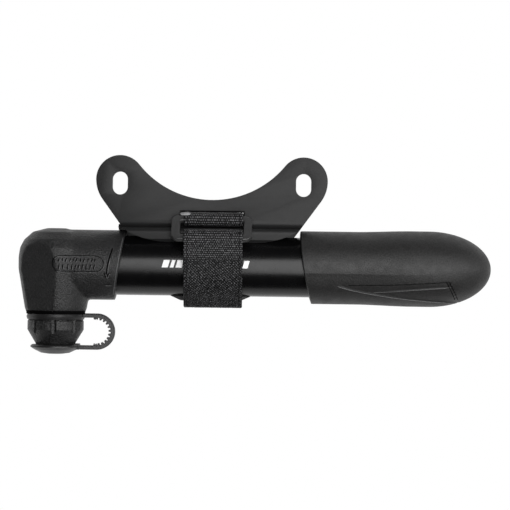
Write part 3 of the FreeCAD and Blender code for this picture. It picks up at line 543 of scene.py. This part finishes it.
def webbing_piece(name, path, body, relief, back_relief, replaced):
    """A strip of webbing swept along a path, woven on its faces, its selvedges rounded."""
    width, middle = STRAP_RIGHT - STRAP_LEFT + SPARE, (STRAP_LEFT + STRAP_RIGHT) / 2
    round_off, line_in, line_deep = 0.45, 1.15, 0.06
    verts, threads, along = [], [], 0.0
    for i, spot in enumerate(path):
        if i:
            along += (spot - path[i - 1]).length
        heading = (path[min(i + 1, len(path) - 1)] - path[max(i - 1, 0)]).normalized()
        normal = Vector((heading.y, -heading.x))
        waver = 0.12 * noise.noise(Vector((along * 0.35, 0, 5)))
        for side in (1, -1):
            for k in range(COLUMNS + 1):
                t = k / COLUMNS if side > 0 else 1 - k / COLUMNS
                across = (t - 0.5) * width
                inside = 0.5 * width - abs(across)
                bulge = math.sqrt(max(0.0, 1 - (1 - min(1.0, inside / round_off)) ** 2))
                selvedge = line_deep * math.exp(-((inside - line_in) / 0.16) ** 2)
                lift = (relief if side > 0 else back_relief)(along, across) - selvedge
                height = side * ((WEB / 2 - 0.11) * (0.35 + 0.65 * bulge) + lift * bulge)
                point = spot + normal * height
                verts.append(at(middle + across * (1 + waver / width), point.x, point.y))
                # the weave's height, which the webbing material turns into painted highlights on thread tops and
                # painted shade in gaps
                threads.append(max(0.0, min(1.0, lift / RELIEF)))
    faces = wrapped_faces(len(path), 2 * (COLUMNS + 1))
    piece = solid_piece(name, verts, faces, "webbing", body, replaced)
    piece.data.attributes.new("thread", "FLOAT", "POINT").data.foreach_set("value", threads)
    return piece


def strap_route():
    """The cross-section route of the strap, worked out from the frame's own parts."""
    upper, lower = buckle_bars()
    hinge = Vector(((HINGE.y - AXIS_Y) / MM, (HINGE.z - AXIS_Z) / MM))
    fold = (hinge - lower).length
    barrel = BARREL_R / MM + 0.15 + WEB / 2
    cradle = 12.15 + WEB / 2
    end, step = 80.0, WEB + 0.1
    span = lower.length
    toward = math.degrees(math.atan2(-lower.x, lower.y))
    band_meets = toward + math.degrees(math.acos((fold + barrel) / span))
    tail_meets = toward + math.degrees(math.acos((barrel + step - fold) / span))
    leaves = end - math.degrees(math.acos(barrel / cradle))
    lands = leaves + math.degrees(math.acos((barrel + step) / (cradle + step)))
    loop = BUCKLE_BAR + 0.1 + WEB / 2
    over, under = upper.x + loop, -0.9
    back = over - WEB
    mouth = Vector((over + 0.12, under))
    away = math.degrees(math.atan2(-mouth.x, mouth.y)) % 360 - math.degrees(math.acos(cradle / mouth.length))
    origin = (0, 0)
    top = -95.0
    band = joined(arc(lower, fold, top, band_meets - 180), arc(origin, barrel, band_meets, leaves),
                  arc(origin, cradle, end, away), [mouth, Vector((over, upper.y))],
                  arc(upper, loop, -90, 180), [Vector((back, upper.y - loop))],
                  [Vector((back, upper.y - loop - 1.5))])
    tail = joined(arc(lower, fold, top, tail_meets), arc(origin, barrel + step, tail_meets, leaves),
                  arc(origin, cradle + step, lands, 100))
    inner = Vector((back, under))
    slope = (arc(origin, cradle, away, away)[0] - mouth).normalized()
    lap = joined([Vector((back, upper.y - loop - 1.2)), inner, inner + slope * 6])
    return band, tail, lap


def make_strap():
    """The band with its sewn lap, and the loose end, whose pile starts a little past its fold."""
    band, tail, lap = strap_route()
    webbing_piece("strap_band_webbing", band, "pump_body", rib_relief, rib_relief, ("strap_band",))
    webbing_piece("strap_lap_webbing", lap, "pump_body", rib_relief, rib_relief, ())

    def tail_face(along, across):
        mix = smooth_step(10.5, 13.5, along)
        return (1 - mix) * rib_relief(along, across) + mix * pile_relief(along, across)

    piece = webbing_piece("strap_tail_webbing", tail, None, tail_face, rib_relief, ("strap_tail",))
    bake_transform(piece)


def make_slot_glimpse():
    """A light grey patch that stands up at the left of the slot, painted in the grey of the shaded table that
    shows through the slot's left end.
    """
    upper, _ = buckle_bars()
    path = arc(upper, BUCKLE_BAR + 0.25 + WEB, -66, -30)
    thick, half_wide, in_from_edge = 0.3, 1.85, 0.2
    section = ((-1, 0), (-0.9, 0.8), (0, 1), (0.9, 0.8), (1, 0), (0.9, -0.8), (-0.9, -0.8))
    verts = []
    for i, spot in enumerate(path):
        normal = (spot - upper).normalized()
        round_off = math.sin(math.pi * (i + 0.5) / len(path)) ** 0.4
        reach = half_wide * round_off
        for across, up in section:
            point = spot + normal * up * thick / 2 * round_off
            verts.append(at(STRAP_LEFT + in_from_edge + across * reach, point.x, point.y))
    faces = wrapped_faces(len(path), len(section))
    piece = solid_piece("slot_glimpse_patch", verts, faces, "webbing", "pump_body")
    # the light grey is the shaded table seen through the slot, painted on this patch
    piece.data.materials[0] = finish_of("sealed_nylon")


# ---------------------------------------------------------------- head
def make_head():
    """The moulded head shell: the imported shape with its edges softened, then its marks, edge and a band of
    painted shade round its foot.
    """
    head = copied("head_shell", "head_shell_moulded")
    remesh = head.modifiers.new("remesh", "REMESH")
    remesh.mode = "VOXEL"
    remesh.voxel_size = 0.3 * MM
    soften = head.modifiers.new("soften", "SMOOTH")
    soften.factor = 0.6
    soften.iterations = 14
    settle(head, "shell_plastic", "pump_head", "head_shell")
    skin = skin_of(head)

    def on_skin(x, y, lift=0.0):
        """The point of the front skin over a place of the barrel frame, raised by a lift, in mm."""
        spot, normal, _, _ = skin.ray_cast(at(x, y, 30), Vector((0, 0, -1)))
        return spot + normal * lift * MM

    make_head_marks(on_skin)
    make_head_end(on_skin)
    make_head_foot(skin)


def make_head_marks(on_skin):
    """An oval of uneven strokes, an arrow that shows the twist and a dash under it, each a cut line of painted
    shade with a painted highlight on its lip.
    """
    def line(name, points, radius, closed=False):
        """A cut line in painted shade, with a painted highlight on the lip just under it."""
        tube(name, points, radius, "shell_plastic", "pump_head", closed, material="edge_shadow")
        lip = [point + Vector((radius + 0.06, -radius - 0.1, -0.06)) * MM for point in points]
        tube(name + "_lip", lip, radius * 0.55, "shell_plastic", "pump_head", closed, material="edge_glint")

    middle_x, middle_y, half_long, end_r = -45.7, 0.35, 6.1, 2.7
    oval = []
    for i in range(72):
        turn = 2 * math.pi * i / 72
        reach = math.copysign(half_long, math.cos(turn))
        oval.append(on_skin(middle_x + reach + end_r * math.cos(turn), middle_y + end_r * math.sin(turn)))
    line("head_oval", oval, 0.13, closed=True)
    random.seed(4)
    for row, (y, tall, pitch) in enumerate(((1.6, 0.68, 1.25), (-0.75, 1.0, 1.45))):
        x, last_x, k = -52.2, -39.6, 0
        while x < last_x:
            half = tall * (0.8 + 0.3 * random.random())
            lean = 0.3 * random.random()
            mark = [on_skin(x + lean * t, y + half * t) for t in (-1, -0.5, 0, 0.5, 1)]
            line("head_mark_%d_%d" % (row, k), mark, 0.2)
            x += pitch * (0.75 + 0.5 * random.random())
            k += 1
    top_x, top_y, bow, drop = -33.8, 5.9, 1.9, 9.3
    steps = [i / 16 for i in range(17)]
    stem = [on_skin(top_x - bow * math.sin(math.pi * t / 2), top_y - drop * t) for t in steps]
    line("head_arrow_stem", stem, 0.25)
    for side in (-1, 1):
        barb = [on_skin(-35.8 + side * 0.85 * t, -4.4 + 1.7 * t) for t in (0, 0.25, 0.5, 0.75, 1)]
        line("head_arrow_barb_%s" % ("left" if side < 0 else "right"), barb, 0.25)
    line("head_dash", [on_skin(-36.9 + 2.5 * i / 6, -6.9) for i in range(7)], 0.17)


def make_head_end(on_skin):
    """The full edge of the socket's slanted end, with a painted highlight along the front of it."""
    bead, rings = 0.25, 120
    edge = []
    for i in range(rings):
        turn = 2 * math.pi * i / rings
        y, z = (SOCKET_R - bead) * math.cos(turn), (SOCKET_R - bead) * math.sin(turn)
        edge.append(at(socket_end(y) - bead, y, z))
    tube("head_end_edge", edge, bead, "shell_plastic", "pump_head", closed=True)
    # the painted highlight: a thin light tube just inside the front of the end
    heights = [-10.6 + 20.4 * i / 48 for i in range(49)]
    in_from_end, sunk = 0.55, -0.05
    rim = [on_skin(socket_end(y) - in_from_end, y, sunk) for y in heights]
    tube("head_rim_glint", rim, 0.14, "shell_plastic", "pump_head", material="edge_glint")


def make_head_foot(skin):
    """A band of painted shade round the foot, down to the cap's ring, where the recess lies in shadow."""
    ring_low, ring_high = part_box("cap_ring")
    nozzle_x = (ring_low.x + ring_high.x) / 2
    steps, heights, lowest, far = 96, (0.04, 0.25, 0.7, 1.2), 0.45, 0.03
    verts = []
    for depth, levels in ((0.03, heights), (-0.3, heights[::-1])):
        for height in levels:
            for j in range(steps):
                turn = 2 * math.pi * j / steps
                out = Vector((math.cos(turn), 0, math.sin(turn)))
                level = max(ring_high.y + height * MM, HEAD_LOW.y + lowest * MM)
                start = Vector((nozzle_x, level, AXIS_Z)) + out * far
                spot, _, _, _ = skin.ray_cast(start, -out)
                spot.y = ring_high.y + height * MM
                verts.append(spot + out * depth * MM)
    faces = wrapped_faces(2 * len(heights), steps, "joined")
    recess = solid_piece("head_foot_shade_band", verts, faces, "shell_plastic", "pump_head")
    # the sheet is painted shade for the shadowed recess, not a dark part
    recess.data.materials[0] = finish_of("edge_shadow")


def make_gland():
    """The rubber gland on the head; in the pump the plunger squeezes it towards the nut as the head is twisted,
    and here it keeps its imported shape.
    """
    piece = copied("valve_gland", "valve_gland_soft")
    settle(piece, "seal_rubber", "pump_head", "valve_gland")
    sharpen(piece, 32)
    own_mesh(piece)


# ---------------------------------------------------------------- handle
def make_grip():
    """The moulded grip: a swept-in mouth, a soft crease along each side and a leaf-shaped thumb scoop, whose edges
    are lined with painted highlights and painted shade.
    """
    low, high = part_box("handle_grip")
    left, right = low.x / MM, high.x / MM
    swell = (high.y - low.y) / 2 / MM
    neck_r, neck, belly, middle, rim_sweep = 12.7, 50.0, 70.0, 76.0, 162
    nose = right - middle
    around = 480

    def profile(x, shrink=0.0):
        """The grip's radius at a place along it: a straight neck, a swell and a round nose."""
        if x <= neck:
            return neck_r - shrink
        if x <= belly:
            return neck_r + (swell - neck_r) * smooth_step(neck, belly, x) - shrink
        if x <= middle:
            return swell - shrink
        reach = min(1.0, (x - middle) / (nose - shrink))
        return (swell - shrink) * math.sqrt(max(0.0, 1 - reach * reach))

    def mouth(turn):
        """Where the rim lies at an angle from +Z towards -Y: swept back towards its lower side."""
        height = -neck_r * math.sin(turn)
        return left + (neck_r - height) ** 2 / rim_sweep

    # the leaf's outlines are distances under the grip's middle, by the share of the leaf's length
    leaf_left, leaf_long = 43.4, 43.5

    def leaf_upper(t):
        return 5.9 - 0.2 * t - 1.9 * t ** 2.2

    def leaf_lower(t):
        return 5.9 + 7.6 * t ** 0.72 - 1.75 * t ** 2.5

    def leaf_ledge(t):
        return 8.35 - 2.2 * smooth_step(0.2, 1.1, t)

    def leaf_end(drop):
        """Where the leaf's blunt end lies along the grip, leaning with the distance under the middle."""
        return 82.6 + 0.56 * (drop - 4.0)

    def scoop(x, turn):
        """How deep the leaf-shaped thumb recess is cut at a place: a step down, a ledge and a floor."""
        degrees = math.degrees(turn)
        degrees = min(degrees, 180 - degrees)
        if not 43 < x < 89 or not 0 < degrees <= 90:
            return 0.0
        r = profile(x)
        drop = r * math.sin(math.radians(degrees))
        t = (x - leaf_left) / leaf_long
        if t <= 0:
            return 0.0
        upper, lower, ledge = leaf_upper(t), leaf_lower(t), leaf_ledge(t)
        end = leaf_end(drop)
        sink = 0.14 + 0.34 * smooth_step(0.1, 0.55, t)
        depth = sink * smooth_step(0, 0.3, drop - upper)
        if t > 0.25:
            depth -= 0.2 * smooth_step(0.25, 0.5, t) * smooth_step(-0.12, 0.12, drop - ledge)
        depth *= 1 - smooth_step(-0.3, 0.0, drop - lower)
        depth *= 1 - smooth_step(-0.35, 0.0, x - end)
        groove = 0.12 * math.exp(-((x - end + 1.1) / 0.16) ** 2) if upper < drop < lower and x < end else 0.0
        return max(0.0, depth) + groove

    def crease(x, turn):
        """A soft facet edge that runs along the grip a little below its middle."""
        spread = min(turn, math.pi - turn) - math.radians(9)
        if spread <= 0:
            return 0.0
        fade = 1 - smooth_step(52, 84, x)
        return 2.9 * fade * spread * math.exp(-spread / 0.24)

    def outside(x, turn):
        return profile(x) - crease(x, turn) - scoop(x, turn)

    verts = []

    def ring(place, radius):
        """Adds a closed ring; both are functions of the angle."""
        for j in range(around):
            turn = 2 * math.pi * j / around
            x, r = place(turn), radius(turn)
            verts.append(at(x, -r * math.sin(turn), r * math.cos(turn)))

    # inside, from the closed end back to the step of the bore, and through the bore to the mouth
    closed_end, bore_end, bore_r, wall, rim = 93.6, 36.0, 10.75, neck_r - 11.5, 0.35
    nose_places = [closed_end - 2.2 * k for k in range(1, 9)]
    for x in [closed_end - 0.01] + nose_places + [74, 66, 58, 50, 44, 40, bore_end + 0.02]:
        ring(lambda turn, x=x: x, lambda turn, x=x: profile(x, wall))
    ring(lambda turn: bore_end, lambda turn: bore_r)
    ring(lambda turn: mouth(turn) + rim, lambda turn: bore_r)
    # the rim is rounded over from the bore to the outside
    half = (neck_r - bore_r) / 2
    for k in range(7):
        angle = math.pi * k / 6
        ring(lambda turn, a=angle: mouth(turn) + rim * (1 - math.sin(a)),
             lambda turn, a=angle: bore_r + half - half * math.cos(a) * (0.72 + 0.28 * abs(math.cos(a))))
    along_count = 211
    for k in range(1, along_count):
        t = k / along_count
        ring(lambda turn, t=t: mouth(turn) + rim + (middle - mouth(turn) - rim) * t,
             lambda turn, t=t: outside(mouth(turn) + (middle - mouth(turn)) * t, turn))
    nose_count = 60
    for k in range(nose_count):
        x = middle + nose * math.sin(math.pi / 2 * k / nose_count)
        ring(lambda turn, x=x: x, lambda turn, x=x: outside(x, turn))
    faces = wrapped_faces(len(verts) // around, around, "open")
    last, tip = len(verts) - around, len(verts)
    verts.append(at(right, 0, 0))
    faces += [(last + j, last + (j + 1) % around, tip) for j in range(around)]
    faces.append(tuple(range(around)))
    piece = solid_piece("handle_grip_moulded", verts, faces, "grip_rubber", "handle", ("handle_grip",))
    sharpen(piece, 40)
    skin = skin_of(piece)

    def long_edge(edge, first, last, offset):
        """Places along one of the leaf's long edges, as (x, distance under the middle)."""
        shares = [first + (last - first) * i / 60 for i in range(61)]
        return [(leaf_left + leaf_long * t, edge(t) + offset) for t in shares]

    def short_edge(offset):
        """Places along the leaf's blunt end."""
        return [(leaf_end(drop) + offset, drop) for drop in [4.2 + 6.4 * i / 20 for i in range(21)]]

    # painted highlights along the leaf's lower edge and ledge, painted shade along its upper edge, its end and the
    # groove by its end
    edges = (("lower", long_edge(leaf_lower, 0.01, 0.97, 0.05), 0.13, "edge_glint"),
             ("ledge", long_edge(leaf_ledge, 0.3, 0.88, 0.0), 0.09, "edge_glint"),
             ("upper", long_edge(leaf_upper, 0.1, 0.9, 0.1), 0.11, "edge_shadow"),
             ("end", short_edge(-0.2), 0.12, "edge_shadow"),
             ("end_groove", short_edge(-1.2), 0.12, "edge_shadow"))
    for side, place in ((1, "front"), (-1, "back")):
        for label, route, radius, finish in edges:
            spots = [skin.ray_cast(at(x, -drop, 30 * side), Vector((0, 0, -side)))[0] for x, drop in route]
            tube("grip_leaf_%s_%s" % (label, place), spots, radius, "grip_rubber", "handle", material=finish)


# ---------------------------------------------------------------- bracket
def make_bracket():
    """The bracket with its moulded edges rounded, and the lip behind its plate."""
    piece = copied("bracket", "bracket_moulded")
    build = bmesh.new()
    build.from_mesh(piece.data)
    bmesh.ops.dissolve_limit(build, angle_limit=math.radians(1.0), verts=build.verts, edges=build.edges)
    build.to_mesh(piece.data)
    build.free()
    rounded(piece, 0.4, 3, 35)
    settle(piece, "bracket_plastic", "pump_body", "bracket")
    sharpen(piece, 32)
    # the lip closes the line of sight through the slit over the head's socket
    left, reach, bottom, top, back, front = -32.2, 1.0, 10.4, 12.9, -2.6, -1.0
    over_socket, past_end = 0.12, 0.06
    verts = []
    for z in (back, front):
        under = math.sqrt((SOCKET_R + over_socket) ** 2 - z ** 2)
        corner, foot = socket_end(under) + past_end, socket_end(bottom) + past_end
        outline = ((left, top), (left, under), (corner, under), (foot, bottom),
                   (foot + reach, bottom), (corner + reach, top))
        verts += [at(x, y, z) for x, y in outline]
    faces = wrapped_faces(2, len(outline))
    solid_piece("bracket_head_lip", verts, faces, "bracket_plastic", "pump_body", smooth=False)


# ---------------------------------------------------------------- buckle
def make_buckle():
    """A moulded ring with broad flat sides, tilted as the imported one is."""
    upper, lower = buckle_bars()
    down, span = (lower - upper).normalized(), (lower - upper).length
    normal = Vector((-down.y, down.x))
    left, right = BUCKLE_LOW.x / MM, BUCKLE_HIGH.x / MM
    left_wide, right_wide, half_thick = 3.1, 2.9, 0.95

    def loop(x0, x1, d0, d1, corner):
        """A rounded rectangle as (x, depth) pairs."""
        spots = []
        for cx, cy, start in ((x1 - corner, d1 - corner, 0), (x0 + corner, d1 - corner, 90),
                              (x0 + corner, d0 + corner, 180), (x1 - corner, d0 + corner, 270)):
            for k in range(9):
                turn = math.radians(start + 90 * k / 8)
                spots.append((cx + corner * math.cos(turn), cy + corner * math.sin(turn)))
        return spots

    outer = loop(left, right, -BUCKLE_BAR, span + BUCKLE_BAR, 2.6)
    inner = loop(left + left_wide, right - right_wide, BUCKLE_BAR, span - BUCKLE_BAR, 0.8)
    verts = []
    for spots in (outer, inner):
        for lift in (-half_thick, half_thick):
            for x, depth in spots:
                spot = upper + down * depth + normal * lift
                verts.append(at(x, spot.x, spot.y))
    n = len(outer)
    faces = []
    for j in range(n):
        k = (j + 1) % n
        faces += [(j, k, n + k, n + j), (2 * n + j, 3 * n + j, 3 * n + k, 2 * n + k),
                  (j, 2 * n + j, 2 * n + k, k), (n + j, n + k, 3 * n + k, 3 * n + j)]
    piece = solid_piece("buckle_moulded", verts, faces, "buckle_plastic", None)
    rounded(piece, 0.5, 4, 50)
    settle(piece, "buckle_plastic", "pump_body", "buckle_ring")


# ---------------------------------------------------------------- tether
def make_tether():
    """The bent rubber tether, ratcheted along the inside of its curve."""
    low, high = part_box("cap_tether")
    thick, corner = 2.2, 0.3
    tooth_deep, teeth_per_stage = 0.75, 11.6 / 1.12
    bend_x, ring_x, cap_x = -39.5, -44.2, -45.4
    leg_steps, bend_steps = 24, 150
    top, bottom = (high.y - AXIS_Y) / MM - thick / 2, (low.y - AXIS_Y) / MM + thick / 2
    middle, radius = (top + bottom) / 2, (top - bottom) / 2
    half_wide = (high.z - low.z) / 2
    # each step is a place, the way to the inside of the curve and a stage: 0 to 1 on the upper leg,
    # 1 to 2 round the bend and 2 to 3 on the lower leg
    path = []
    for k in range(leg_steps):
        x = ring_x + (bend_x - ring_x) * k / leg_steps
        path.append((Vector((x, top)), Vector((0, -1)), k / leg_steps))
    for k in range(bend_steps + 1):
        angle = math.pi / 2 - math.pi * k / bend_steps
        out = Vector((math.cos(angle), math.sin(angle)))
        path.append((Vector((bend_x, middle)) + out * radius, -out, 1 + k / bend_steps))
    for k in range(1, leg_steps + 1):
        x = bend_x + (cap_x - bend_x) * k / leg_steps
        path.append((Vector((x, bottom)), Vector((0, 1)), 2 + k / leg_steps))
    verts = []
    for spot, inward, stage in path:
        tooth = 0.0
        if 0.75 < stage < 2.25:
            phase = (stage - 0.75) * teeth_per_stage % 1
            tooth = tooth_deep * smooth_step(0.14, 0.32, phase) * (1 - smooth_step(0.68, 0.86, phase))
        outer, inner = spot - inward * thick / 2, spot + inward * (thick / 2 - tooth_deep + tooth)
        across = (inner - outer).normalized()
        loop = [(outer + across * corner, -1), (outer, -0.82), (outer, 0.82), (outer + across * corner, 1),
                (inner - across * corner, 1), (inner, 0.82), (inner, -0.82), (inner - across * corner, -1)]
        for spot, side in loop:
            verts.append(Vector((spot.x * MM, AXIS_Y + spot.y * MM, AXIS_Z + side * half_wide)))
    faces = wrapped_faces(len(path), 8)
    piece = solid_piece("cap_tether_rubber", verts, faces, "cap_rubber", None, ("cap_tether",))
    sharpen(piece, 50)
    swing = Vector(joint("cap_swing")["pos_m"])
    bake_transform(piece)
    # the block where the tether meets the cap
    x0, x1, y0, y1, z = cap_x - 2.2, cap_x, bottom - 1.15, bottom + 0.95, half_wide / MM + 0.1
    lug = [at(x, y, d) for d in (-z, z) for x, y in ((x0, y0), (x1, y0), (x1, y1), (x0, y1))]
    faces = [(0, 1, 2, 3), (4, 5, 6, 7), (0, 1, 5, 4), (1, 2, 6, 5), (2, 3, 7, 6), (3, 0, 4, 7)]
    block = solid_piece("cap_lug", lug, faces, "cap_rubber", None, smooth=False)
    rounded(block, 0.25, 3, 30)
    apply_modifiers(block)
    dress(block, "cap_rubber")
    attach(block, "cap")


# ---------------------------------------------------------------- print on the barrel
def make_print():
    """Plain slanted white bars, printed round the barrel's front."""
    film = BARREL_R / MM + 0.012
    slant, half_tall, centre, gap = 0.3, 1.3, 0.75, 0.75
    widths, last_x, end_x = (2.1, 1.2, 2.1, 0.8, 1.6), 12.6, 13.2
    x, k = -16.5, 0
    while x < last_x:
        wide = min(widths[k % len(widths)], end_x - x)
        verts = []
        for i in range(9):
            y = centre - half_tall + 2 * half_tall * i / 8
            turn = math.asin(-y / film)
            shift = slant * (y - centre)
            for edge in (0, wide):
                verts.append(at(x + edge + shift, -film * math.sin(turn), film * math.cos(turn)))
        faces = [(2 * i, 2 * i + 1, 2 * i + 3, 2 * i + 2) for i in range(8)]
        mesh = bpy.data.meshes.new("print_bar_%d" % k)
        mesh.from_pydata(verts, [], faces)
        bar = link(bpy.data.objects.new("print_bar_%d" % k, mesh))
        thick = bar.modifiers.new("film", "SOLIDIFY")
        thick.thickness = 0.01 * MM
        apply_modifiers(bar)
        bar.data.materials.append(finish_of("print_white"))
        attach(bar, "pump_body")
        x += wide + gap
        k += 1


dress_cad()
make_camera()
make_studio()
make_strap()
make_slot_glimpse()
make_head()
make_gland()
make_grip()
make_bracket()
make_buckle()
make_tether()
make_print()
